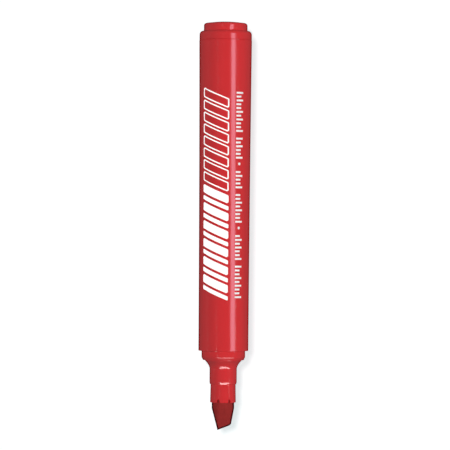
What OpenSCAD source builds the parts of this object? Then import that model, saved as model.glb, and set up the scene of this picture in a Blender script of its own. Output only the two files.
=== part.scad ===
// Chisel-tip permanent marker, without its cap, lying on a table with the broad face of its nib up.
//
// Frame: +Y runs along the marker from nib to tail, +Z is up, and the origin is on the table
// under the middle of the marker. Every piece is drawn along its own +Z, where z is the distance
// from the tail, and lay() then puts it down on the table.

/* [End plug] */
// Height of the domed tail end
dome_h = 0.5; // [0.2:0.1:0.8]
// Diameter of the tail boss that the cap is posted on
boss_d = 14.5; // [13.5:0.1:15]
// Length of the tail boss
boss_len = 2.6; // [2.2:0.1:4]
// Rounding of the boss's outer edge
boss_round = 0.8; // [0.3:0.1:1.2]
// Diameter of the flange that closes the barrel
flange_d = 17.4; // [17:0.05:17.5]
// Length of the flange
flange_len = 3.1; // [2.5:0.1:5]
// Rounding of the flange's shoulder
flange_round = 1.2; // [0.6:0.1:1.2]
// Depth of the plug's skirt inside the barrel
plug_depth = 7.6; // [6:0.1:8]

/* [Barrel] */
// Length of the barrel
barrel_len = 103.35; // [90:0.05:120]
// Diameter of the barrel at its rear end
barrel_rear_d = 17.5; // [17.5:0.05:18]
// Diameter of the barrel at half its length
barrel_mid_d = 16.9; // [16.8:0.05:17.4]
// Diameter of the barrel at its front end
barrel_front_d = 16.6; // [16.4:0.05:16.8]
// Number of ribs inside the barrel that centre the reservoir
rib_count = 6; // [3:1:10]

/* [Front section] */
// Diameter of the collar that the cap grips
collar_d = 14.5; // [14.4:0.05:15]
// Length of the collar
collar_len = 3.1; // [2.4:0.1:4]
// Length of the chamfer at the collar's front edge
collar_chamfer = 0.9; // [0.6:0.1:1.2]
// Diameter of the foot of the flare
flare_d = 12.2; // [11:0.1:12.4]
// Length of the flare between the collar and the neck
flare_len = 2.8; // [2:0.1:4]
// How hollow the flare is, where 1 is a straight cone
flare_power = 1.8; // [1.2:0.1:2.4]
// Diameter of the neck
neck_d = 9.05; // [9:0.05:10]
// Length of the neck, with its chamfered end
neck_len = 5.05; // [4:0.05:7]
// Length of the chamfer at the neck's front end
neck_chamfer = 0.7; // [0.4:0.1:1]

/* [Nib holder] */
// Diameter of the sleeve where it leaves the neck
sleeve_d = 8.3; // [8.3:0.05:8.4]
// Diameter of the sleeve at its rim
rim_d = 8.55; // [8.4:0.05:8.8]
// Length of the sleeve ahead of the neck
sleeve_len = 6.1; // [5:0.1:9]
// Number of air slots in the rim
vent_count = 7; // [4:1:8]
// Turn of the first air slot about the axis, counted from the top
vent_turn = -21.5; // [-30:0.5:30]
// Width of an air slot
vent_w = 0.85; // [0.5:0.05:1]

/* [Nib] */
// Diameter of the felt nib
nib_d = 7.4; // [7:0.05:7.4]
// Length of the nib ahead of the rim
nib_out = 9.1; // [8:0.1:10]
// Length of the nib that is hidden in the holder, the front section and the reservoir
nib_hidden = 29.8; // [29:0.1:34]
// Angle of the taper beside the toe, the leading corner of the writing edge
toe_taper = 15; // [10:0.5:16]
// Angle of the taper beside the heel, the other corner of the writing edge
heel_taper = 10.5; // [8:0.5:16]
// Slant of the writing edge
nib_slant = 21.5; // [10:0.5:30]
// Thickness of the writing edge
edge_thick = 1.4; // [1:0.1:2]

/* [Ink reservoir] */
// Diameter of the fibre core
core_d = 12.8; // [11:0.1:12.9]
// Thickness of the film around the core
film_thick = 0.13; // [0.05:0.01:0.15]
// Outer diameter of the breather tube beside the core
breather_d = 1.2; // [1:0.1:1.4]

/* [Hidden] */
$fn = 96;

// Colours
red_plastic = [0.80, 0.12, 0.14];
dark_felt = [0.45, 0.10, 0.11];
core_white = [0.93, 0.90, 0.86];
film_clear = [0.85, 0.88, 0.92, 0.4];

// Stations, counted from the tail
boss_at = dome_h;
flange_at = boss_at + boss_len;
barrel_at = flange_at + flange_len;
barrel_end = barrel_at + barrel_len;
collar_end = barrel_end + collar_len;
lip = 0.2;
flare_at = collar_end + lip;
neck_at = flare_at + flare_len;
neck_end = neck_at + neck_len;
rim_at = neck_end + sleeve_len;
total_len = rim_at + nib_out;
axis_h = barrel_rear_d / 2;

// Fits and edges
press = 0.02;      // how far a press-fitted piece is larger than its seat, on the radius
running = 0.05;    // gap of a piece that slides, on the radius
plug_gap = 0.03;   // gap of the end plug's skirt, on the radius
film_gap = 0.02;   // gap between the core and its film
rib_gap = 0.05;    // gap between the film and the barrel's ribs
edge_break = 0.12; // small chamfer on moulded edges
lead_in = 0.6;     // length of the chamfer that starts a piece into its seat
seat_spare = 0.4;  // how much deeper a seat is than the piece in it
over = 1;          // how far a cutting shape reaches past what it cuts

// Inside of the barrel
plug_seat_r = 7.5;
plug_seat_len = plug_depth + seat_spare;
bore_rear_r = 7.4;
bore_front_r = 7.2;
nose_seat_r = 7.03;
nose_depth = 6;
rib_w = 0.8;
rib_r = core_d / 2 + film_gap + film_thick + rib_gap;
rib_margin = 4;

// Front section and nib holder
collar_slope = 26;   // of the collar's chamfer, from the marker's axis
neck_slope = 17;     // of the neck's chamfer, from the marker's axis
chamfer_round = 0.6; // rounding where the collar's chamfer begins
nose_hollow_r = 5.9;
nose_hollow_end = barrel_end;
holder_seat_r = sleeve_d / 2 - press;
holder_setback = 1.5; // from the barrel's front end to the holder's rear end
holder_at = barrel_end + holder_setback;
rim_round = 0.15;
vent_depth = 1.05;
groove_depth = 0.15; // of the air grooves in the holder's bore
groove_r = nib_d / 2 + running + groove_depth;

// Nib
nib_at = rim_at - nib_hidden;
tail_cone_len = 4;
tail_r = 2.4;
straight_len = 1.9; // of the nib ahead of the rim, before its sides taper
taper_at = rim_at + straight_len;
chisel_len = 7.6;
corner_round = 0.4;
spare = 0.05; // how far the tapered sides start outside the rod

// Ink reservoir
core_end = barrel_end - nose_depth;
core_clear = 2.9; // between the plug's skirt and the core
core_at = barrel_at + plug_depth + core_clear;
socket_gap = 0.12;
breather_gap = 0.1;
breather_offset = (core_d - breather_d) / 2;
breather_turn = 180 / rib_count;

// Plug interior
plug_wall = 1.25;
plug_face = 1.3;
spacer_w = 1.0;
spacer_r = 5.6;
spacer_gap = 0.2; // between the spacer and the core
spacer_end = core_at - spacer_gap;

// Points of an arc about [x, y], from one angle to another
function arc(x, y, r, from, to, steps = 8) =
    [for (i = [0 : steps])
        let (a = from + (to - from) * i / steps)
        [x + r * cos(a), y + r * sin(a)]];

// Points of a shallow dome over a disc of radius r, from its top at 0 to just short of its rim at h
function dome(r, h, steps = 8) =
    let (ball = (r * r + h * h) / 2 / h)
    [for (i = [0 : steps - 1])
        let (x = r * i / steps)
        [x, ball - sqrt(ball * ball - x * x)]];

// A vector of length one
function unit(v) = v / norm(v);

// Points of a round of radius r at a corner, on the way from one neighbour to the next
function fillet(corner, before, after, r, steps = 5) =
    let (u = unit(before - corner),
         v = unit(after - corner),
         half = acos(u * v) / 2,
         centre = corner + unit(u + v) * r / sin(half),
         from = corner + u * r / tan(half) - centre,
         to = corner + v * r / tan(half) - centre)
    [for (i = [0 : steps]) centre + r * unit(from * (steps - i) + to * i)];

// Lays a piece drawn along +Z on the table, with its front towards -Y and its own +Y up
module lay() {
    translate([0, total_len / 2, axis_h])
        rotate([90, 0, 0])
            children();
}

// A plain tube from one station to another
module tube(outer_r, inner_r, from, to) {
    translate([0, 0, from])
        difference() {
            cylinder(r = outer_r, h = to - from);
            translate([0, 0, -over])
                cylinder(r = inner_r, h = to - from + 2 * over);
        }
}

// Copies of a piece around the axis, the first turned away from the top
module around(count, first_turn = 0) {
    for (i = [0 : count - 1])
        rotate([0, 0, -(first_turn + 360 / count * i)])
            children();
}

// Tail closure: boss, rounded flange, hollow skirt and a crossed spacer that holds the reservoir forward
module end_plug() {
    boss_r = boss_d / 2;
    flange_r = flange_d / 2;
    skirt_r = plug_seat_r - plug_gap;
    skirt_end = barrel_at + plug_depth;
    plug_inside = boss_at + plug_face;
    root = 0.5; // how deep the spacer is rooted in the plug's end wall
    outline = concat(
        dome(boss_r - boss_round, dome_h),
        arc(boss_r - boss_round, boss_at + boss_round, boss_round, -90, 0),
        [[boss_r, flange_at]],
        arc(flange_r - flange_round, flange_at + flange_round, flange_round, -90, 0),
        [[flange_r, barrel_at - edge_break],
         [flange_r - edge_break, barrel_at],
         [skirt_r, barrel_at],
         [skirt_r, skirt_end - lead_in],
         [skirt_r - lead_in / 2, skirt_end],
         [skirt_r - plug_wall, skirt_end],
         [skirt_r - plug_wall, plug_inside],
         [0, plug_inside]]);
    color(red_plastic)
        lay() {
            rotate_extrude()
                polygon(outline);
            intersection() {
                translate([0, 0, plug_inside - root])
                    cylinder(r = spacer_r, h = spacer_end - plug_inside + root);
                union() {
                    for (turn = [0, 90])
                        rotate([0, 0, turn])
                            translate([-spacer_w / 2, -spacer_r - over, 0])
                                cube([spacer_w, 2 * (spacer_r + over), spacer_end + over]);
                }
            }
        }
}

// Drafted tube with a seat for a press-fitted piece at each end and ribs around the reservoir
module barrel() {
    rear_r = barrel_rear_d / 2;
    mid_r = barrel_mid_d / 2;
    front_r = barrel_front_d / 2;
    plug_seat_end = barrel_at + plug_seat_len;
    nose_seat_at = barrel_end - nose_depth - seat_spare;
    outline = [
        [plug_seat_r, barrel_at],
        [rear_r - edge_break, barrel_at],
        [rear_r, barrel_at + edge_break],
        [mid_r, barrel_at + barrel_len / 2],
        [front_r, barrel_end - edge_break],
        [front_r - edge_break, barrel_end],
        [nose_seat_r, barrel_end],
        [nose_seat_r, nose_seat_at],
        [bore_front_r, nose_seat_at],
        [bore_rear_r, plug_seat_end],
        [plug_seat_r, plug_seat_end]];
    color(red_plastic)
        lay() {
            rotate_extrude()
                polygon(outline);
            around(rib_count)
                translate([-rib_w / 2, rib_r, plug_seat_end + rib_margin])
                    cube([rib_w, plug_seat_r - rib_r, nose_seat_at - plug_seat_end - 2 * rib_margin]);
        }
}

// Nose of the marker: skirt in the barrel, cap collar, hollow flare and neck
module front_section() {
    skirt_r = nose_seat_r + press;
    skirt_at = barrel_end - nose_depth;
    collar_r = collar_d / 2;
    flare_r = flare_d / 2;
    neck_r = neck_d / 2;
    collar_side = [collar_r, barrel_end];
    collar_edge = [collar_r, collar_end - collar_chamfer];
    collar_front = [collar_r - collar_chamfer * tan(collar_slope), collar_end];
    flare_steps = 14;
    flare = [for (i = [0 : flare_steps])
        let (t = i / flare_steps)
        [neck_r + (flare_r - neck_r) * pow(1 - t, flare_power), flare_at + flare_len * t]];
    outline = concat(
        [[nose_hollow_r, skirt_at],
         [skirt_r - lead_in / 2, skirt_at],
         [skirt_r, skirt_at + lead_in],
         [skirt_r, barrel_end],
         collar_side],
        fillet(collar_edge, collar_side, collar_front, chamfer_round),
        [collar_front,
         [flare_r, collar_end]],
        flare,
        [[neck_r, neck_end - neck_chamfer],
         [neck_r - neck_chamfer * tan(neck_slope), neck_end],
         [holder_seat_r, neck_end],
         [holder_seat_r, holder_at],
         [nose_hollow_r, nose_hollow_end]]);
    color(red_plastic)
        lay()
            rotate_extrude()
                polygon(outline);
}

// Sleeve that grips the nib: pressed into the neck, flared to a slotted rim
module nib_holder() {
    body_r = sleeve_d / 2;
    rim_r = rim_d / 2;
    bore_r = nib_d / 2 + running;
    outline = concat(
        [[bore_r, holder_at],
         [body_r - lead_in / 4, holder_at],
         [body_r, holder_at + lead_in / 2],
         [body_r, neck_end]],
        arc(rim_r - rim_round, rim_at - rim_round, rim_round, 0, 90, 4),
        [[bore_r, rim_at]]);
    color(red_plastic)
        lay()
            difference() {
                rotate_extrude()
                    polygon(outline);
                around(vent_count, vent_turn) {
                    translate([-vent_w / 2, 0, holder_at - over])
                        cube([vent_w, groove_r, rim_at - holder_at + 2 * over]);
                    translate([-vent_w / 2, 0, rim_at - vent_depth])
                        cube([vent_w, rim_r + over, vent_depth + over]);
                }
            }
}

// Felt rod with a conical tail and a slanted chisel edge
module nib() {
    r = nib_d / 2;
    rod = [
        [0, nib_at],
        [tail_r, nib_at],
        [r, nib_at + tail_cone_len],
        [r, total_len + over],
        [0, total_len + over]];
    color(dark_felt)
        lay()
            intersection() {
                rotate_extrude()
                    polygon(rod);
                ground_cone(r);
                chisel_slab(r);
                slanted_outline(r);
            }
}

// Cone that rounds the tapered sides, tilted towards the heel because the toe tapers more
module ground_cone(r) {
    half_angle = (toe_taper + heel_taper) / 2;
    behind = total_len - nib_at;
    ahead = total_len - taper_at + over;
    translate([0, 0, taper_at])
        rotate([0, (toe_taper - heel_taper) / 2, 0])
            translate([0, 0, -behind])
                cylinder(r1 = r + behind * tan(half_angle), r2 = r - ahead * tan(half_angle),
                         h = behind + ahead);
}

// Side outline of the chisel: two faces that close in on the writing edge
module chisel_slab(r) {
    reach = r + over;
    closing = (r - edge_thick / 2) / chisel_len;
    wide_at = total_len - (reach - edge_thick / 2) / closing;
    past_tip = total_len + edge_thick / 4 / closing;
    rotate([90, 0, 90])
        linear_extrude(height = 2 * reach, center = true)
            polygon([
                [-reach, nib_at - over],
                [reach, nib_at - over],
                [reach, wide_at],
                [edge_thick / 4, past_tip],
                [-edge_thick / 4, past_tip],
                [-reach, wide_at]]);
}

// Front outline of the chisel: tapered sides and a slanted end with both corners rounded
module slanted_outline(r) {
    reach = r + over;
    side = [r + spare, taper_at];
    toe = [(total_len - taper_at) * tan(toe_taper) - side[0], total_len];
    heel = heel_corner(toe, side);
    rounded_toe = fillet(toe, heel, [-side[0], side[1]], corner_round);
    rounded_heel = fillet(heel, side, toe, corner_round);
    // the sharp outline moves forward by what the round takes off the toe
    toe_loss = total_len - max([for (p = rounded_toe) p[1]]);
    rotate([90, 0, 0])
        linear_extrude(height = 2 * reach, center = true)
            translate([0, toe_loss])
                polygon(concat(
                    [[-reach, nib_at - 2 * over], [reach, nib_at - 2 * over], [reach, taper_at], side],
                    rounded_heel,
                    rounded_toe,
                    [[-side[0], side[1]], [-reach, taper_at]]));
}

// Sharp corner where the slanted end, drawn from the toe, meets the tapered side of the heel
function heel_corner(toe, side) =
    let (rise = tan(nib_slant),
         lean = tan(heel_taper),
         past_side = (toe[1] - side[1] + (toe[0] - side[0]) * rise) / (1 - rise * lean))
    [side[0] - past_side * lean, side[1] + past_side];

// Ink-soaked fibre core, with a socket for the nib's tail and a groove for the breather tube
module ink_reservoir() {
    socket_r = nib_d / 2 + socket_gap;
    socket_at = nib_at - socket_gap;
    color(core_white)
        lay()
            difference() {
                translate([0, 0, core_at])
                    cylinder(d = core_d, h = core_end - core_at);
                translate([0, 0, socket_at])
                    cylinder(r1 = tail_r + socket_gap, r2 = socket_r, h = tail_cone_len);
                translate([0, 0, socket_at + tail_cone_len])
                    cylinder(r = socket_r, h = core_end - socket_at);
                around(1, breather_turn)
                    translate([0, breather_offset, core_at - over])
                        cylinder(d = breather_d + 2 * breather_gap, h = core_end - core_at + 2 * over);
            }
}

// Clear film rolled around the fibre core
module reservoir_wrap() {
    inner_r = core_d / 2 + film_gap;
    color(film_clear)
        lay()
            tube(inner_r + film_thick, inner_r, core_at, core_end);
}

// Fine tube between core and film that lets air back past the ink
module breather_tube() {
    wall = 0.2;
    color(core_white)
        lay()
            around(1, breather_turn)
                translate([0, breather_offset, 0])
                    tube(breather_d / 2, breather_d / 2 - wall, core_at, core_end);
}

end_plug();
barrel();
front_section();
nib_holder();
nib();
ink_reservoir();
reservoir_wrap();
breather_tube();
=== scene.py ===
"""Chisel-tip permanent marker without its cap, lying on a white table under soft studio light.

The marker's shapes are given in mm. A station is a distance along it from the tail, in mm.
"""

import math

import bmesh
import bpy
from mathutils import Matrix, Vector, noise


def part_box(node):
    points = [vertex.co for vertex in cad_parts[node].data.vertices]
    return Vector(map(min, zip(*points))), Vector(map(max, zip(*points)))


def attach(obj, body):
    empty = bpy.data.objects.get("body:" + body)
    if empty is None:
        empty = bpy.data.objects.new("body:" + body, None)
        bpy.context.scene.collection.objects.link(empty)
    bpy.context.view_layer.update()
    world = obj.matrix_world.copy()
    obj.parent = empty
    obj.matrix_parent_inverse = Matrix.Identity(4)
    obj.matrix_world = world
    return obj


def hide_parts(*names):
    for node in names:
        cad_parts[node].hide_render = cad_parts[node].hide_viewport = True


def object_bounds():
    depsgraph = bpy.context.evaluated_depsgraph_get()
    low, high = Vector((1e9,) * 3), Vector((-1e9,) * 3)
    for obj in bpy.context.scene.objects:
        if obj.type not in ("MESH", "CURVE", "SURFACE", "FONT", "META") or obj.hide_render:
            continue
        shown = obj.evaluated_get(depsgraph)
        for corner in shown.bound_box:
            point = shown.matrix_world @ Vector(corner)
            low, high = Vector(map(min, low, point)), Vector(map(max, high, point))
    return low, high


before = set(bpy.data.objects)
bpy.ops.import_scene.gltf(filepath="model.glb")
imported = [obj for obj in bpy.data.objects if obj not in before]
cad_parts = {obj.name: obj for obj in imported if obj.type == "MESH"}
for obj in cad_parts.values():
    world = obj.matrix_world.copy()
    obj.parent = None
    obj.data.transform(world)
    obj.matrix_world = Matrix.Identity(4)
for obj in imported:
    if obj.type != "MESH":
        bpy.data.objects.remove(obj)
cad_low, cad_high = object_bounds()

MM = 0.001
SIDES = 160  # facets round a turned piece
SHARP = math.radians(28)  # edges that turn more than this stay crisp

barrel_low, barrel_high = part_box("barrel")
collar_low, collar_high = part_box("front_section")
holder_low, holder_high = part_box("nib_holder")
nib_low, nib_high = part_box("nib")
plug_low, plug_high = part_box("end_plug")
TAIL_Y = cad_high.y
AXIS_Z = (barrel_low.z + barrel_high.z) / 2


def station_of(y):
    """Distance from the tail, in mm, of a place along the marker."""
    return (TAIL_Y - y) / MM


# Stations of the seams, from the CAD pieces
BARREL_AT = station_of(barrel_high.y)
BARREL_END = station_of(barrel_low.y)
NOSE_AT = station_of(collar_high.y)
NECK_END = station_of(collar_low.y)
HOLDER_AT = station_of(holder_high.y)
RIM_AT = station_of(holder_low.y)
NIB_AT = station_of(nib_high.y)
TIP = station_of(nib_low.y)
SPACER_END = station_of(plug_low.y)

# Radii, in mm
BARREL_REAR_R = (barrel_high.x - barrel_low.x) / 2 / MM
BARREL_MID_R = 8.45
BARREL_FRONT_R = 8.3
FLANGE_R = (plug_high.x - plug_low.x) / 2 / MM
COLLAR_R = (collar_high.x - collar_low.x) / 2 / MM
BOSS_R = 7.25
FLARE_R = 6.1
NECK_R = 4.525
SLEEVE_R = 4.15
RIM_R = (holder_high.x - holder_low.x) / 2 / MM
NIB_R = (nib_high.x - nib_low.x) / 2 / MM
EDGE_BREAK = 0.12
LEAD_IN = 0.6  # length of the slope that starts a piece into its seat
SEAM_GAP = 0.01  # how far a piece stands off the end of the barrel


# ---------------------------------------------------------------- shapes

def spot(x, station, z):
    """A point given in mm across, along and above the marker's axis."""
    return Vector((x * MM, TAIL_Y - station * MM, AXIS_Z + z * MM))


def around(radius, angle, station):
    """A point on a circle about the axis. The angle is from the top towards +X."""
    return spot(radius * math.sin(angle), station, radius * math.cos(angle))


def rounded(corners, steps=6):
    """Points of an outline whose corners are (x, y, rounding). A rounding of 0 keeps a corner sharp."""
    points = []
    for i, (x, y, rounding) in enumerate(corners):
        corner = Vector((x, y))
        if rounding == 0:
            points.append(corner)
            continue
        before = (Vector(corners[i - 1][:2]) - corner).normalized()
        after = (Vector(corners[(i + 1) % len(corners)][:2]) - corner).normalized()
        half = before.angle(after) / 2
        centre = corner + (before + after).normalized() * rounding / math.sin(half)
        start = corner + before * rounding / math.tan(half) - centre
        finish = corner + after * rounding / math.tan(half) - centre
        for k in range(steps + 1):
            points.append(centre + (start * (steps - k) + finish * k).normalized() * rounding)
    return points


def divided(start, finish, steps, rounding=0):
    """Corners between two outline corners, so that a long side has rings of its own."""
    (x0, y0), (x1, y1) = start, finish
    return [(x0 + (x1 - x0) * k / steps, y0 + (y1 - y0) * k / steps, rounding) for k in range(1, steps)]


def join_rings(bm, ring, following):
    """Faces between two rings of vertices. A ring of one vertex is a pole."""
    for k in range(max(len(ring), len(following))):
        corners = [
            ring[k % len(ring)],
            ring[(k + 1) % len(ring)],
            following[(k + 1) % len(following)],
            following[k % len(following)],
        ]
        bm.faces.new(list(dict.fromkeys(corners)))


def turn(bm, outline):
    """Turns an outline of (station, radius) points about the axis, which it may end on."""
    rings = []
    for station, radius in outline:
        if radius < 1e-6:
            rings.append([bm.verts.new(spot(0, station, 0))])
            continue
        rings.append([bm.verts.new(around(radius, 2 * math.pi * k / SIDES, station)) for k in range(SIDES)])
    pairs = list(zip(rings, rings[1:]))
    if len(rings[0]) > 1:
        pairs.append((rings[-1], rings[0]))
    for ring, following in pairs:
        join_rings(bm, ring, following)


def extrude_along(bm, section, start, finish, turned=0):
    """A bar along the marker with a closed cross-section of (x, z) points, turned about the axis."""
    polar = [(math.hypot(x, z), math.atan2(x, z) + turned) for x, z in section]
    rings = []
    for station in (start, finish):
        rings.append([bm.verts.new(around(radius, angle, station)) for radius, angle in polar])
    join_rings(bm, *rings)
    for ring in rings:
        bm.faces.new(ring)


def make_piece(bm, name, body, material, replaces=()):
    """Turns a bmesh into a piece that rides on a body and stands for CAD nodes."""
    bmesh.ops.recalc_face_normals(bm, faces=bm.faces)
    for face in bm.faces:
        face.smooth = True
    for edge in bm.edges:
        if len(edge.link_faces) == 2 and edge.calc_face_angle() > SHARP:
            edge.smooth = False
    mesh = bpy.data.meshes.new(name)
    bm.to_mesh(mesh)
    bm.free()
    mesh.materials.append(material)
    piece = bpy.data.objects.new(name, mesh)
    bpy.context.scene.collection.objects.link(piece)
    weighted = piece.modifiers.new("Even shading", "WEIGHTED_NORMAL")
    weighted.keep_sharp = True
    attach(piece, body)
    if replaces:
        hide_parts(*replaces)
    return piece


# ---------------------------------------------------------------- materials

class Nodes:
    """Short calls for building a material's nodes."""

    def __init__(self, name):
        self.material = bpy.data.materials.new(name)
        self.material.use_nodes = True
        self.tree = self.material.node_tree
        self.shader = self.tree.nodes["Principled BSDF"]
        self.place = self.add("ShaderNodeTexCoord").outputs["Object"]

    def add(self, kind, **settings):
        """A node. A setting named like one of its inputs is set there, any other on the node."""
        node = self.tree.nodes.new(kind)
        for key, value in settings.items():
            socket = key.replace("_", " ")
            if socket in node.inputs:
                node.inputs[socket].default_value = value
            else:
                setattr(node, key, value)
        return node

    def link(self, source, target):
        self.tree.links.new(source, target)

    def set(self, **values):
        for key, value in values.items():
            self.shader.inputs[key.replace("_", " ")].default_value = value

    def stretched(self, across, along):
        """Object coordinates in cells of the given size, in mm, across and along the marker."""
        mapping = self.add("ShaderNodeMapping")
        mapping.inputs["Scale"].default_value = (1 / across / MM, 1 / along / MM, 1 / across / MM)
        self.link(self.place, mapping.inputs["Vector"])
        return mapping.outputs["Vector"]

    def noise(self, across, along=None, detail=2.0, rough=0.5):
        """Noise with cells of the given size, in mm."""
        texture = self.add("ShaderNodeTexNoise", Scale=1.0, Detail=detail, Roughness=rough)
        self.link(self.stretched(across, along or across), texture.inputs["Vector"])
        return texture.outputs["Fac"]

    def spread(self, value, low, high, from_low=0.3, from_high=0.7):
        """Maps a value onto a range."""
        node = self.add("ShaderNodeMapRange")
        node.inputs["From Min"].default_value = from_low
        node.inputs["From Max"].default_value = from_high
        node.inputs["To Min"].default_value = low
        node.inputs["To Max"].default_value = high
        self.link(value, node.inputs["Value"])
        return node.outputs["Result"]

    def blend(self, amount, colour_a, colour_b):
        """A colour between two, by an amount from 0 to 1."""
        # the node has sockets of the same name for other kinds of value, so its colour ones go by number
        node = self.add("ShaderNodeMix", data_type="RGBA")
        self.link(amount, node.inputs[0])
        for socket, colour in ((node.inputs[6], colour_a), (node.inputs[7], colour_b)):
            if isinstance(colour, tuple):
                socket.default_value = colour
            else:
                self.link(colour, socket)
        return node.outputs[2]

    def bump(self, height, depth, under=None, strength=1.0):
        """A bump of a depth in mm, laid over another bump."""
        node = self.add("ShaderNodeBump", Strength=strength, Distance=depth * MM)
        self.link(height, node.inputs["Height"])
        if under is not None:
            self.link(under, node.inputs["Normal"])
        return node.outputs["Normal"]


def red_plastic_material():
    """Glossy moulded plastic: faint orange peel, fine handling scratches and a little uneven gloss."""
    m = Nodes("red_plastic")
    peel = m.noise(2.2, 3.0, detail=1.0)
    haze = m.noise(9.0, 16.0, detail=3.0)
    scratches = m.noise(0.12, 6.0, detail=3.0, rough=0.7)
    scratched = m.spread(scratches, 0.0, 1.0, 0.60, 0.72)
    tint = m.blend(m.spread(haze, 0.0, 1.0), (0.640, 0.0110, 0.0158, 1), (0.665, 0.0122, 0.0172, 1))
    m.link(tint, m.shader.inputs["Base Color"])
    gloss = m.add("ShaderNodeMath", operation="ADD")
    m.link(m.spread(haze, 0.13, 0.165), gloss.inputs[0])
    m.link(m.spread(scratched, 0.0, 0.06, 0.0, 1.0), gloss.inputs[1])
    m.link(gloss.outputs[0], m.shader.inputs["Roughness"])
    under = m.bump(peel, 0.006, strength=0.4)
    m.link(m.bump(scratched, 0.001, under, strength=0.3), m.shader.inputs["Normal"])
    m.set(IOR=1.5)
    return m.material


def white_print_material():
    """Opaque white printing ink with a slightly uneven film."""
    m = Nodes("white_print")
    film = m.noise(0.5, detail=4.0, rough=0.6)
    colour = m.blend(m.spread(film, 0.0, 1.0), (0.93, 0.92, 0.91, 1), (0.99, 0.985, 0.98, 1))
    m.link(colour, m.shader.inputs["Base Color"])
    m.link(m.spread(film, 0.38, 0.5), m.shader.inputs["Roughness"])
    m.link(m.bump(film, 0.01, strength=0.3), m.shader.inputs["Normal"])
    m.set(IOR=1.45)
    return m.material


RIM_DISTANCE = "rim_distance"  # on the nib: how far a point lies inside its outline seen from above, in mm


def felt_material():
    """Ink-soaked felt: fine lengthwise fibres, and painted shade that darkens the felt near the edges of its
    outline seen from above and just inside the holder's mouth.
    """
    m = Nodes("inked_felt")
    fibres = m.noise(0.10, 1.6, detail=4.0, rough=0.7)
    blotches = m.noise(1.4, 2.4, detail=2.0)
    grain = m.noise(0.16, detail=3.0, rough=0.7)
    soaked = m.blend(m.spread(blotches, 0.0, 1.0), (0.320, 0.029, 0.027, 1), (0.280, 0.025, 0.024, 1))
    streaked = m.blend(m.spread(fibres, 0.0, 0.55, 0.35, 0.7), soaked, (0.37, 0.036, 0.034, 1))
    # painted shade: the felt turns near black along the edges of its outline seen from above and just inside
    # the holder's mouth, standing in for the shade on its steep sides and in the air slots
    rim = m.add("ShaderNodeAttribute", attribute_name=RIM_DISTANCE).outputs["Fac"]
    painted_shade = m.spread(rim, 1.0, 0.0, 0.42, 0.62)
    colour = m.blend(painted_shade, streaked, (0.070, 0.001, 0.003, 1))
    m.link(colour, m.shader.inputs["Base Color"])
    m.link(m.spread(grain, 0.72, 0.95), m.shader.inputs["Roughness"])
    under = m.bump(fibres, 0.05, strength=0.6)
    m.link(m.bump(grain, 0.04, under, strength=0.5), m.shader.inputs["Normal"])
    m.set(IOR=1.4, Specular_IOR_Level=0.16)
    return m.material


def fibre_core_material():
    """Bundled polyester fibre stained by ink, with paler strands."""
    m = Nodes("inked_fibre")
    strands = m.noise(0.09, 14.0, detail=4.0, rough=0.65)
    stain = m.noise(3.0, 12.0, detail=2.0)
    wet = m.blend(m.spread(stain, 0.0, 1.0), (0.42, 0.030, 0.035, 1), (0.56, 0.075, 0.080, 1))
    colour = m.blend(m.spread(strands, 0.0, 0.7, 0.45, 0.75), wet, (0.74, 0.32, 0.31, 1))
    m.link(colour, m.shader.inputs["Base Color"])
    m.link(m.spread(strands, 0.7, 0.9), m.shader.inputs["Roughness"])
    m.link(m.bump(strands, 0.08, strength=0.7), m.shader.inputs["Normal"])
    m.set(IOR=1.4)
    return m.material


def clear_film_material():
    """Thin clear film with slight wrinkles."""
    m = Nodes("clear_film")
    wrinkles = m.noise(1.2, 9.0, detail=2.0)
    m.link(m.spread(wrinkles, 0.08, 0.2), m.shader.inputs["Roughness"])
    m.link(m.bump(wrinkles, 0.03, strength=0.5), m.shader.inputs["Normal"])
    m.set(Base_Color=(0.93, 0.86, 0.86, 1), IOR=1.5, Alpha=0.35)
    return m.material


def white_tube_material():
    """Milky drawn plastic tube."""
    m = Nodes("white_plastic")
    drawn = m.noise(0.2, 8.0, detail=2.0)
    colour = m.blend(m.spread(drawn, 0.0, 1.0), (0.86, 0.78, 0.76, 1), (0.91, 0.86, 0.84, 1))
    m.link(colour, m.shader.inputs["Base Color"])
    m.link(m.spread(drawn, 0.3, 0.42), m.shader.inputs["Roughness"])
    m.link(m.bump(drawn, 0.01, strength=0.4), m.shader.inputs["Normal"])
    return m.material


RED = red_plastic_material()
WHITE_PRINT = white_print_material()
FELT = felt_material()


# ---------------------------------------------------------------- barrel

BARREL_RINGS = 28


def barrel_radius(station):
    """Outer radius of the barrel: a slightly hollow draft through its rear, middle and front."""
    t = (station - BARREL_AT) / (BARREL_END - BARREL_AT)
    hollow = 4 * t * (1 - t) * (BARREL_MID_R - (BARREL_REAR_R + BARREL_FRONT_R) / 2)
    return BARREL_REAR_R + (BARREL_FRONT_R - BARREL_REAR_R) * t + hollow


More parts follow.
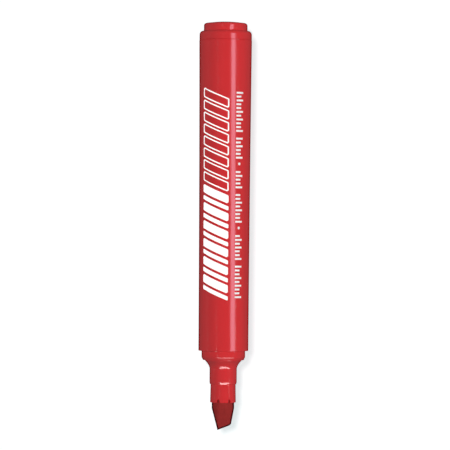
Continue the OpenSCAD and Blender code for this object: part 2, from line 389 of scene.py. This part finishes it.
def make_barrel():
    """Moulded tube with a seat at each end and ribs that centre the reservoir."""
    plug_seat_r, bore_rear_r, bore_front_r, nose_seat_r = 7.5, 7.4, 7.2, 7.03
    plug_seat_length, nose_seat_length = 8.0, 6.4
    plug_seat_end = BARREL_AT + plug_seat_length
    nose_seat_at = BARREL_END - nose_seat_length
    outer = []
    for k in range(1, BARREL_RINGS):
        station = BARREL_AT + (BARREL_END - BARREL_AT) * k / BARREL_RINGS
        outer.append((station, barrel_radius(station), 0))
    corners = [
        (BARREL_AT, plug_seat_r, 0.15),
        (BARREL_AT, BARREL_REAR_R, EDGE_BREAK),
        *outer,
        (BARREL_END, BARREL_FRONT_R, 0.1),
        (BARREL_END, nose_seat_r, 0.1),
        (nose_seat_at, nose_seat_r, 0),
        (nose_seat_at, bore_front_r, 0),
        *divided((nose_seat_at, bore_front_r), (plug_seat_end, bore_rear_r), BARREL_RINGS),
        (plug_seat_end, bore_rear_r, 0),
        (plug_seat_end, plug_seat_r, 0),
    ]
    bm = bmesh.new()
    turn(bm, rounded(corners, steps=4))
    rib_count, rib_half, rib_top, rib_foot, rib_round, rib_margin = 6, 0.4, 6.6, 7.45, 0.25, 4.0
    rib = rounded([
        (-rib_half, rib_foot, 0),
        (-rib_half, rib_top, rib_round),
        (rib_half, rib_top, rib_round),
        (rib_half, rib_foot, 0),
    ], steps=3)
    for k in range(rib_count):
        turned = 2 * math.pi * k / rib_count
        extrude_along(bm, rib, plug_seat_end + rib_margin, nose_seat_at - rib_margin, turned)
    return make_piece(bm, "barrel_tube", "barrel", RED, ["barrel"])


# ---------------------------------------------------------------- end plug

def make_end_plug():
    """Tail closure: domed boss with its gate mark, flange, skirt with a lead-in and a crossed spacer."""
    dome_h, dome_steps, dome_margin = 0.5, 8, 0.15
    boss_round, boss_len, flange_round = 0.8, 2.6, 1.2
    gate_r, gate_depth, gate_rim = 0.8, 0.12, 0.01
    end_wall, skirt_r, skirt_wall, skirt_length = 1.3, 7.47, 1.25, 7.6
    flange_at = dome_h + boss_len
    inside = dome_h + end_wall
    skirt_end = BARREL_AT + skirt_length
    dome_r = BOSS_R - boss_round
    ball = (dome_r ** 2 + dome_h ** 2) / 2 / dome_h
    dome = []
    for k in range(1, dome_steps + 1):
        radius = gate_r + (dome_r - dome_margin - gate_r) * k / dome_steps
        dome.append((ball - math.sqrt(ball ** 2 - radius ** 2), radius, 0))
    corners = [
        (gate_depth, 0, 0),
        (gate_depth, gate_r * 0.75, 0.06),
        (gate_rim, gate_r, 0.05),
        *dome,
        (dome_h, BOSS_R, boss_round),
        (flange_at - 0.02, BOSS_R, 0.12),
        (flange_at, FLANGE_R, flange_round),
        (BARREL_AT - SEAM_GAP, FLANGE_R, EDGE_BREAK),
        (BARREL_AT - SEAM_GAP, skirt_r, 0.05),
        (skirt_end - LEAD_IN, skirt_r, 0.2),
        (skirt_end, skirt_r - LEAD_IN / 2, 0.12),
        (skirt_end, skirt_r - skirt_wall, 0.15),
        (inside, skirt_r - skirt_wall, 0.3),
        (inside, 0, 0),
    ]
    bm = bmesh.new()
    turn(bm, rounded(corners))
    half, reach, root = 0.5, 5.6, 0.3
    arm = [(half, half), (half, reach), (-half, reach)]
    cross = []
    for k in range(4):
        cos, sin = math.cos(k * math.pi / 2), math.sin(k * math.pi / 2)
        cross += [(x * cos - z * sin, x * sin + z * cos) for x, z in arm]
    extrude_along(bm, cross, inside - root, SPACER_END)
    return make_piece(bm, "end_plug_body", "end_plug", RED, ["end_plug"])


# ---------------------------------------------------------------- front section

def make_front_section():
    """Nose: skirt inside the barrel, cap collar, hollow flare and neck with a chamfered end."""
    collar_length, lip, flare_length = 3.1, 0.2, 2.8
    collar_end = BARREL_END + collar_length
    flare_at = collar_end + lip
    skirt_r, hollow_r, seat_r = 7.05, 5.9, 4.13
    flare_steps, flare_power = 16, 1.8
    collar_chamfer, collar_drop, collar_round = 0.96, 0.45, 0.62
    # the neck's rounded front edge: (distance from the end, drop, rounding)
    neck_edge = ((0.65, 0, 0.1), (0.4, 0.05, 0), (0.17, 0.11, 0), (0, 0.165, 0.02))
    flare = []
    for k in range(flare_steps + 1):
        t = k / flare_steps
        radius = NECK_R + (FLARE_R - NECK_R) * (1 - t) ** flare_power
        flare.append((flare_at + flare_length * t, radius, 0))
    corners = [
        (NOSE_AT, hollow_r, 0.1),
        (NOSE_AT, skirt_r - LEAD_IN / 2, 0.1),
        (NOSE_AT + LEAD_IN, skirt_r, 0.2),
        (BARREL_END + SEAM_GAP, skirt_r, 0),
        (BARREL_END + SEAM_GAP, COLLAR_R, 0.05),
        (collar_end - collar_chamfer, COLLAR_R, collar_round),
        (collar_end, COLLAR_R - collar_drop, 0.12),
        (collar_end, FLARE_R, 0.1),
        *flare,
        *[(NECK_END - back, NECK_R - drop, rounding) for back, drop, rounding in neck_edge],
        (NECK_END, seat_r, 0),
        (HOLDER_AT, seat_r, 0),
        (BARREL_END, hollow_r, 0),
    ]
    bm = bmesh.new()
    turn(bm, rounded(corners))
    return make_piece(bm, "front_section_body", "barrel", RED, ["front_section"])


# ---------------------------------------------------------------- nib holder

def make_nib_holder():
    """Thin sleeve that flares to a rim with air slots cut in it."""
    vent_count, vent_turn, vent_width, vent_depth = 7, -21.5, 0.85, 1.05
    bore_r, rim_round, rim_steps = NIB_R + 0.05, 0.12, 4
    lead_in, mouth_chamfer = 0.3, 0.08
    half_vent = vent_width / 2 / RIM_R
    split = 1e-6  # turn between a slot's side and its foot
    vents = [math.radians(vent_turn + 360 / vent_count * k) % (2 * math.pi) for k in range(vent_count)]

    def outer_radius(station):
        t = (station - NECK_END) / (RIM_AT - NECK_END)
        return SLEEVE_R + (RIM_R - SLEEVE_R) * max(t, 0)

    def outline(end):
        """The wall's section where it ends at this station: at the rim, or at the foot of a slot."""
        flare_station = NECK_END + (RIM_AT - NECK_END) * 0.4
        foot = RIM_AT - vent_depth - rim_round
        fixed = [
            (HOLDER_AT, bore_r),
            (HOLDER_AT, SLEEVE_R - lead_in / 2),
            (HOLDER_AT + lead_in, SLEEVE_R),
            (NECK_END - lead_in, SLEEVE_R),
            (flare_station, outer_radius(flare_station)),
            (foot, outer_radius(foot)),
        ]
        centre_station = end - rim_round
        centre_radius = outer_radius(centre_station) - rim_round
        crown = []
        for k in range(rim_steps + 1):
            a = math.pi / 2 * k / rim_steps
            crown.append((centre_station + rim_round * math.sin(a), centre_radius + rim_round * math.cos(a)))
        return fixed + crown + [(end, bore_r + mouth_chamfer), (end - mouth_chamfer, bore_r), (foot, bore_r)]

    def clear_of_vents(angle):
        return all(abs((angle - v + math.pi) % (2 * math.pi) - math.pi) > half_vent for v in vents)

    tall, short = outline(RIM_AT), outline(RIM_AT - vent_depth)
    angles = [2 * math.pi * (k + 0.5) / SIDES for k in range(SIDES)]
    columns = [(angle, tall) for angle in angles if clear_of_vents(angle)]
    for v in vents:
        columns += [(v - half_vent, tall), (v - half_vent + split, short), (v, short)]
        columns += [(v + half_vent - split, short), (v + half_vent, tall)]
    columns.sort(key=lambda column: column[0] % (2 * math.pi))
    bm = bmesh.new()
    lines = []
    for angle, wall in columns:
        lines.append([bm.verts.new(around(radius, angle, station)) for station, radius in wall])
    for line, following in zip(lines, lines[1:] + lines[:1]):
        join_rings(bm, line, following)
    bmesh.ops.remove_doubles(bm, verts=bm.verts, dist=0.0005 * MM)
    return make_piece(bm, "nib_holder_sleeve", "barrel", RED, ["nib_holder"])


# ---------------------------------------------------------------- nib

NIB_SIDES = 176
NIB_ANGLES = [2 * math.pi * k / NIB_SIDES for k in range(NIB_SIDES)]
TAPER_AT = RIM_AT + 1.9  # where the sides begin to taper
CHISEL_LENGTH = 7.6  # length of the two broad faces
EDGE_THICK = 1.4
EDGE_ROUND = 0.68
EDGE_SPARE = 0.09  # how far the end stands ahead of the CAD piece's, before the felt is roughened
TOE_TAPER = math.tan(math.radians(15))
HEEL_TAPER = math.tan(math.radians(10.5))
SLANT = math.tan(math.radians(21.5))
SPINE_HALF = 1.75  # half the length of the line that the end's rings close on


def nib_section(station, angle):
    """A point (x, z) of the rod's outline: a circle cut by the two broad faces, with softened corners."""
    softness = 16
    past = max(station - TAPER_AT, 0)
    radius = NIB_R - past * (TOE_TAPER + HEEL_TAPER) / 2
    middle = past * (TOE_TAPER - HEEL_TAPER) / 2
    half_thick = EDGE_THICK / 2 + (NIB_R - EDGE_THICK / 2) / CHISEL_LENGTH * (TIP - station)
    squeeze = (radius * abs(math.cos(angle)) / half_thick) ** softness
    reach = radius / (1 + squeeze) ** (1 / softness)
    return middle + reach * math.sin(angle), reach * math.cos(angle)


def nib_end(x):
    """Station of the slanted end, for a place across the nib."""
    toe = (TIP - TAPER_AT) * TOE_TAPER - NIB_R
    return TIP + EDGE_SPARE - (x - toe) * SLANT


def nib_tail_rings(length):
    """The hidden tail: a blunt cone that grows to the full rod."""
    profile = ((0.0, 0.0), (0.0, 0.62), (0.15, 0.65), (2.0, 0.83), (3.9, 0.995), (length, 1.0))
    rings = []
    for depth, share in profile:
        radius = share * NIB_R
        rings.append([(radius * math.sin(a), NIB_AT + depth, radius * math.cos(a)) for a in NIB_ANGLES])
    return rings


def nib_rod_rings(start, finish, count=8):
    """The rod between its tail and its broad faces."""
    rings = []
    for k in range(1, count + 1):
        station = start + (finish - start) * k / count
        ring = []
        for angle in NIB_ANGLES:
            x, z = nib_section(station, angle)
            ring.append((x, station, z))
        rings.append(ring)
    return rings


def nib_chisel_rings(start, count=44, passes=6):
    """Rings that lean over little by little until they lie along the slanted end."""
    rings = []
    for k in range(1, count + 1):
        ring = []
        for angle in NIB_ANGLES:
            x, z = nib_section(start, angle)
            for _ in range(passes):
                reach = nib_end(x) - EDGE_ROUND
                station = start + (reach - start) * k / count
                x, z = nib_section(min(station, TIP), angle)
            ring.append((x, station, z))
        rings.append(ring)
    return rings


def nib_edge_rings(last, steps=6):
    """The rounded writing edge and the flat inside it, from the last ring of the chisel."""
    rings = []
    for k in range(1, steps + 1):
        a = math.pi / 2 * k / steps
        inset, advance = EDGE_ROUND * (1 - math.cos(a)), EDGE_ROUND * math.sin(a)
        ring = []
        for x, _, z in last:
            spine_x = max(min(x, SPINE_HALF), -SPINE_HALF)
            away = Vector((x - spine_x, z))
            shrink = max(away.length - inset, 0) / max(away.length, 1e-6)
            new_x = spine_x + away.x * shrink
            ring.append((new_x, nib_end(new_x) - EDGE_ROUND + advance, z * shrink))
        rings.append(ring)
    rim = rings[-1]
    for share in (0.75, 0.5, 0.25, 0.0):
        ring = []
        for x, _, z in rim:
            spine_x = max(min(x, SPINE_HALF), -SPINE_HALF)
            new_x = spine_x + (x - spine_x) * share
            ring.append((new_x, nib_end(new_x), z * share))
        rings.append(ring)
    return rings


def mark_rim(bm):
    """Stores on every point how far it lies inside the nib's outline seen from above."""
    mouth_depth = 0.7  # the painted shade also lies this far inside the holder
    rim_distance = bm.verts.layers.float.new(RIM_DISTANCE)
    for vert in bm.verts:
        x, station = vert.co.x / MM, station_of(vert.co.y)
        past = max(station - TAPER_AT, 0)
        left = x + NIB_R - past * TOE_TAPER
        right = NIB_R - past * HEEL_TAPER - x
        mouth = abs(station - RIM_AT + mouth_depth)
        vert[rim_distance] = min(left, right, nib_end(x) - station, mouth)


def roughen_nib(bm):
    """Raises fibre lines and small lumps on the felt, by about 0.05 mm at most on the rod.

    The normals still point into the felt here, so taking them away moves the surface outwards.
    """
    line_height, lump_height = 0.012, 0.02
    bm.normal_update()
    for vert in bm.verts:
        x, y, z = (value / MM for value in vert.co)
        lines = noise.noise(Vector((x * 4.0, y * 0.8, z * 4.0)))
        lumps = noise.noise(vert.co / MM * 0.9)
        vert.co -= vert.normal * MM * (line_height * (1 + lines) + lump_height * (1 + lumps))


def make_nib():
    """Felt rod whose front closes to a slanted chisel edge, with soft worn edges."""
    tail_length, run_up = 4.2, 1.0
    chisel_at = TIP - CHISEL_LENGTH - run_up
    rings = nib_tail_rings(tail_length)
    rings += nib_rod_rings(NIB_AT + tail_length, chisel_at)
    rings += nib_chisel_rings(chisel_at)
    rings += nib_edge_rings(rings[-1])
    bm = bmesh.new()
    made = [[bm.verts.new(spot(*point)) for point in ring] for ring in rings]
    for ring, following in zip(made, made[1:]):
        join_rings(bm, ring, following)
    bmesh.ops.remove_doubles(bm, verts=bm.verts, dist=0.001 * MM)
    mark_rim(bm)
    roughen_nib(bm)
    return make_piece(bm, "nib_felt", "nib", FELT, ["nib"])


# ---------------------------------------------------------------- print on the barrel

INK_TOP = 0.02  # how far the print stands out of the barrel, in mm
INK_FOOT = -0.05  # how far it reaches into the barrel


def slanted(arc_low, arc_high, start, finish, slant, rounding, inset=0.0):
    """Outline (arc, station) of a slanted block, where arc is the way round the barrel from its top."""
    low, high = arc_low + inset, arc_high - inset
    near, far = start + inset, finish - inset
    corners = [
        (low, near + (low - arc_low) * slant, rounding),
        (high, near + (high - arc_low) * slant, rounding),
        (high, far + (high - arc_low) * slant, rounding),
        (low, far + (low - arc_low) * slant, rounding),
    ]
    return rounded(corners, steps=4)


def print_shape(bm, outline, hole=None):
    """Adds one printed shape, solid or with a hole whose outline has the same number of points."""
    strip_width = 0.5  # flat strips of this width wrap round the barrel
    flat = bmesh.new()
    outer = [flat.verts.new((arc, station, 0)) for arc, station in outline]
    if hole is None:
        flat.faces.new(outer)
    else:
        inner = [flat.verts.new((arc, station, 0)) for arc, station in hole]
        join_rings(flat, outer, inner)
    arcs = [arc for arc, _ in outline]
    cut = math.floor(min(arcs) / strip_width) * strip_width
    while cut < max(arcs):
        everything = flat.verts[:] + flat.edges[:] + flat.faces[:]
        bmesh.ops.bisect_plane(flat, geom=everything, plane_co=(cut, 0, 0), plane_no=(1, 0, 0), dist=1e-5)
        cut += strip_width
    top = {}
    foot = {}
    for vert in flat.verts:
        arc, station, _ = vert.co
        radius = barrel_radius(station)
        top[vert] = bm.verts.new(around(radius + INK_TOP, arc / BARREL_MID_R, station))
        foot[vert] = bm.verts.new(around(radius + INK_FOOT, arc / BARREL_MID_R, station))
    for face in flat.faces:
        bm.faces.new([top[v] for v in face.verts])
        bm.faces.new([foot[v] for v in reversed(face.verts)])
    for edge in flat.edges:
        if len(edge.link_faces) == 1:
            a, b = edge.verts
            bm.faces.new([top[a], top[b], foot[b], foot[a]])
    flat.free()


def make_print():
    """Plain white stripes: slanted outlined bars, then slanted solid bars, broad and narrow by turns."""
    slant = 0.42
    arc_low, arc_high = -8.05, 1.35
    bm = bmesh.new()

    def stripe(start, width, rounding, inset=0.0):
        return slanted(arc_low, arc_high, start, start + width, slant, rounding, inset)

    open_at, open_pitch, open_count, open_bar, line = 22.0, 3.95, 8, 3.2, 0.42
    for k in range(open_count):
        start = open_at + open_pitch * k
        print_shape(bm, stripe(start, open_bar, 0.5), stripe(start, open_bar, 0.25, line))
    solid_at, solid_pitch, solid_count = 54.0, 5.95, 6
    broad, narrow_at, narrow = 2.75, 3.65, 1.4
    for k in range(solid_count):
        start = solid_at + solid_pitch * k
        print_shape(bm, stripe(start, broad, 0.5))
        print_shape(bm, stripe(start + narrow_at, narrow, 0.3))
    return make_piece(bm, "barrel_print_large", "barrel", WHITE_PRINT)


def make_small_print():
    """A row of fine ticks in groups, with two dots between them."""
    arc_low, station = 3.8, 91.85
    tall, short = 2.6, 1.8
    heights = (tall, short, short, tall, short)
    groups = (9, 7, 0, 8, 5, 0, 6, 11)  # ticks in each group, where 0 is a dot
    pitch, tick, gap, tick_round = 1.26, 0.62, 1.3, 0.12
    dot_r, dot_sides = 0.45, 16
    bm = bmesh.new()
    for group in groups:
        if group == 0:
            dot_arc, dot_station = arc_low + tall / 2, station - dot_r
            turns = [2 * math.pi * k / dot_sides for k in range(dot_sides)]
            dot = [(dot_arc + dot_r * math.cos(a), dot_station + dot_r * math.sin(a)) for a in turns]
            print_shape(bm, dot)
            station -= 2 * dot_r + gap
            continue
        for k in range(group):
            arc_high = arc_low + heights[k % len(heights)]
            print_shape(bm, slanted(arc_low, arc_high, station - tick, station, 0, tick_round))
            station -= pitch
        station -= gap
    return make_piece(bm, "barrel_print_small", "barrel", WHITE_PRINT)


# ---------------------------------------------------------------- build

barrel = make_barrel()
end_plug = make_end_plug()
front_section = make_front_section()
nib_holder = make_nib_holder()
nib = make_nib()
large_print = make_print()
small_print = make_small_print()

inner_materials = {
    "ink_reservoir": fibre_core_material(),
    "reservoir_wrap": clear_film_material(),
    "breather_tube": white_tube_material(),
}
for name, material in inner_materials.items():
    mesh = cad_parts[name].data
    mesh.materials.clear()
    mesh.materials.append(material)


# ---------------------------------------------------------------- camera

CAMERA_ABOVE_AXIS = 0.94
CAMERA_ROLL = math.radians(0.43)  # the marker leans a little in the picture
camera_data = bpy.data.cameras.new("camera")
camera_data.lens = 225.6
camera_data.sensor_width = 36
camera_data.clip_start = 0.05
camera_data.clip_end = 10
camera = bpy.data.objects.new("camera", camera_data)
camera.location = (0.00024, 0.00025, AXIS_Z + CAMERA_ABOVE_AXIS)
camera.rotation_euler = (0, 0, CAMERA_ROLL)
bpy.context.scene.collection.objects.link(camera)
bpy.context.scene.camera = camera


# ---------------------------------------------------------------- light and floor

def glow_material(name, radiance, tint=(1, 1, 1)):
    """A glowing sheet that hides nothing behind it."""
    material = bpy.data.materials.new(name)
    material.use_nodes = True
    nodes = material.node_tree.nodes
    nodes.clear()
    glow = nodes.new("ShaderNodeEmission")
    glow.inputs["Color"].default_value = (*tint, 1)
    glow.inputs["Strength"].default_value = radiance
    clear = nodes.new("ShaderNodeBsdfTransparent")
    both = nodes.new("ShaderNodeAddShader")
    output = nodes.new("ShaderNodeOutputMaterial")
    links = material.node_tree.links
    links.new(glow.outputs["Emission"], both.inputs[0])
    links.new(clear.outputs["BSDF"], both.inputs[1])
    links.new(both.outputs["Shader"], output.inputs["Surface"])
    return material


def stage_sheet(name, corners, material):
    """A flat four-cornered sheet that belongs to the studio, not to the marker."""
    mesh = bpy.data.meshes.new(name)
    mesh.from_pydata(corners, [], [(0, 1, 2, 3)])
    mesh.materials.append(material)
    sheet = bpy.data.objects.new(name, mesh)
    bpy.context.scene.collection.objects.link(sheet)
    return sheet


def seen_in_gloss_only(sheet):
    """Keeps a light panel out of everything but reflections."""
    sheet.visible_camera = False
    sheet.visible_diffuse = False
    sheet.visible_shadow = False
    sheet.visible_transmission = False
    sheet.visible_volume_scatter = False


def mirrored_spot(station, angle, distance):
    """The place that the camera sees mirrored in the barrel at this station and angle from the top."""
    tilt = math.radians(angle)
    normal = Vector((math.sin(tilt), 0, math.cos(tilt)))
    surface = around(barrel_radius(min(max(station, BARREL_AT), BARREL_END)), tilt, station)
    ray = (surface - camera.location).normalized()
    return surface + (ray - 2 * ray.dot(normal) * normal) * distance


def shine_on(light, pieces):
    """Limits a light to some pieces of the marker."""
    group = bpy.data.collections.new(light.name + "_receivers")
    for piece in pieces:
        group.objects.link(piece)
    light.light_linking.receiver_collection = group


PANEL_DISTANCE = 0.6  # from the marker to a light panel

# The strip's reflection runs past both ends of the barrel. Each corner is (station, angle from the top).
strip_rear, strip_front = -45, BARREL_END + 30
strip_corners = ((strip_rear, 10.3), (strip_rear, 19.3), (strip_front, 28.8), (strip_front, 17.5))
strip = stage_sheet(
    "strip_light",
    [mirrored_spot(station, angle, PANEL_DISTANCE) for station, angle in strip_corners],
    glow_material("strip_glow", 4.9, (1.0, 0.88, 1.08)),
)
seen_in_gloss_only(strip)
shine_on(strip, [barrel, end_plug, large_print, small_print])


def towards(from_vertical, sideways, distance):
    """A place in front of the nose, by its angle from straight up and how far it lies to the side."""
    up, side = math.radians(from_vertical), math.radians(sideways)
    direction = Vector((math.sin(side), -math.sin(up) * math.cos(side), math.cos(up) * math.cos(side)))
    return spot(0, NECK_END, 0) + direction * distance


# Each corner is (lean from straight up towards the nib, lean to the side), in degrees.
front_corners = ((22, -35), (22, 60), (46, 42), (46, -18))
front_box = stage_sheet(
    "front_softbox",
    [towards(from_vertical, sideways, PANEL_DISTANCE) for from_vertical, sideways in front_corners],
    glow_material("front_glow", 12.0),
)
seen_in_gloss_only(front_box)
shine_on(front_box, [front_section])


def sun(name, strength, sideways, along=0, width=10, tint=(1, 1, 1)):
    """A distant light. Its angles are how far it leans from straight up towards +X and towards +Y."""
    data = bpy.data.lights.new(name, "SUN")
    data.energy = strength * math.pi
    data.angle = math.radians(width)
    data.color = tint
    lamp = bpy.data.objects.new(name, data)
    direction = Vector((math.tan(math.radians(sideways)), math.tan(math.radians(along)), 1))
    lamp.rotation_mode = "QUATERNION"
    lamp.rotation_quaternion = direction.to_track_quat("Z", "Y")
    lamp.visible_glossy = False
    bpy.context.scene.collection.objects.link(lamp)
    return lamp


prints = [large_print, small_print]
marker = [barrel, end_plug, front_section, nib_holder, nib, *prints]
marker += [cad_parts[name] for name in inner_materials]
sun("shadow_light", 0.31, sideways=-11, along=11, width=12, tint=(1, 0.90, 0.90))
shine_on(sun("right_light", 0.58, sideways=57), marker)
shine_on(sun("left_light", 0.27, sideways=-33), marker)
shine_on(sun("low_light", 0.07, sideways=-80), marker)
shine_on(sun("print_light", 0.60, sideways=-60), prints)


def make_floor():
    """White table top. It sends no light back onto the marker, so that the marker keeps its dark outline."""
    material = bpy.data.materials.new("table_white")
    material.use_nodes = True
    shader = material.node_tree.nodes["Principled BSDF"]
    shader.inputs["Base Color"].default_value = (0.93, 0.93, 0.93, 1)
    shader.inputs["Roughness"].default_value = 1.0
    shader.inputs["Specular IOR Level"].default_value = 0.0
    shader.inputs["Emission Color"].default_value = (0.905, 0.988, 0.998, 1)
    shader.inputs["Emission Strength"].default_value = 0.77
    reach = 3.0
    corners = [(-reach, -reach, 0), (reach, -reach, 0), (reach, reach, 0), (-reach, reach, 0)]
    floor = stage_sheet("table_top", corners, material)
    floor.visible_glossy = False
    floor.visible_diffuse = False
    return floor


make_floor()


def make_world():
    """White to the camera, a weak even fill, and a reflected sky that falls off below the horizon."""
    fill_strength, seen_strength = 0.05, 1.1
    world = bpy.data.worlds.new("studio")
    bpy.context.scene.world = world
    world.use_nodes = True
    nodes, links = world.node_tree.nodes, world.node_tree.links
    nodes.clear()
    place = nodes.new("ShaderNodeTexCoord")
    split = nodes.new("ShaderNodeSeparateXYZ")
    links.new(place.outputs["Generated"], split.inputs[0])
    half = nodes.new("ShaderNodeMath")
    half.operation = "MULTIPLY_ADD"
    half.inputs[1].default_value = 0.5
    half.inputs[2].default_value = 0.5
    links.new(split.outputs["Z"], half.inputs[0])
    sky = nodes.new("ShaderNodeValToRGB")
    links.new(half.outputs[0], sky.inputs["Fac"])
    # (height from straight down at 0 to straight up at 1, brightness)
    stops = (
        (0.0, 0.005), (0.078, 0.005), (0.105, 0.17), (0.125, 0.18),
        (0.25, 0.31), (0.5, 0.56), (0.75, 0.62), (1.0, 0.62),
    )
    ramp = sky.color_ramp
    while len(ramp.elements) < len(stops):
        ramp.elements.new(0.5)
    for element, (position, value) in zip(ramp.elements, stops):
        element.position = position
        element.color = (value, value, value, 1)
    path = nodes.new("ShaderNodeLightPath")
    fill = nodes.new("ShaderNodeMix")
    fill.inputs["A"].default_value = fill_strength
    links.new(path.outputs["Is Glossy Ray"], fill.inputs["Factor"])
    links.new(sky.outputs["Color"], fill.inputs["B"])
    seen = nodes.new("ShaderNodeMix")
    seen.inputs["B"].default_value = seen_strength
    links.new(path.outputs["Is Camera Ray"], seen.inputs["Factor"])
    links.new(fill.outputs["Result"], seen.inputs["A"])
    background = nodes.new("ShaderNodeBackground")
    links.new(seen.outputs["Result"], background.inputs["Color"])
    output = nodes.new("ShaderNodeOutputWorld")
    links.new(background.outputs["Background"], output.inputs["Surface"])


make_world()
bpy.context.scene.view_settings.view_transform = "Standard"
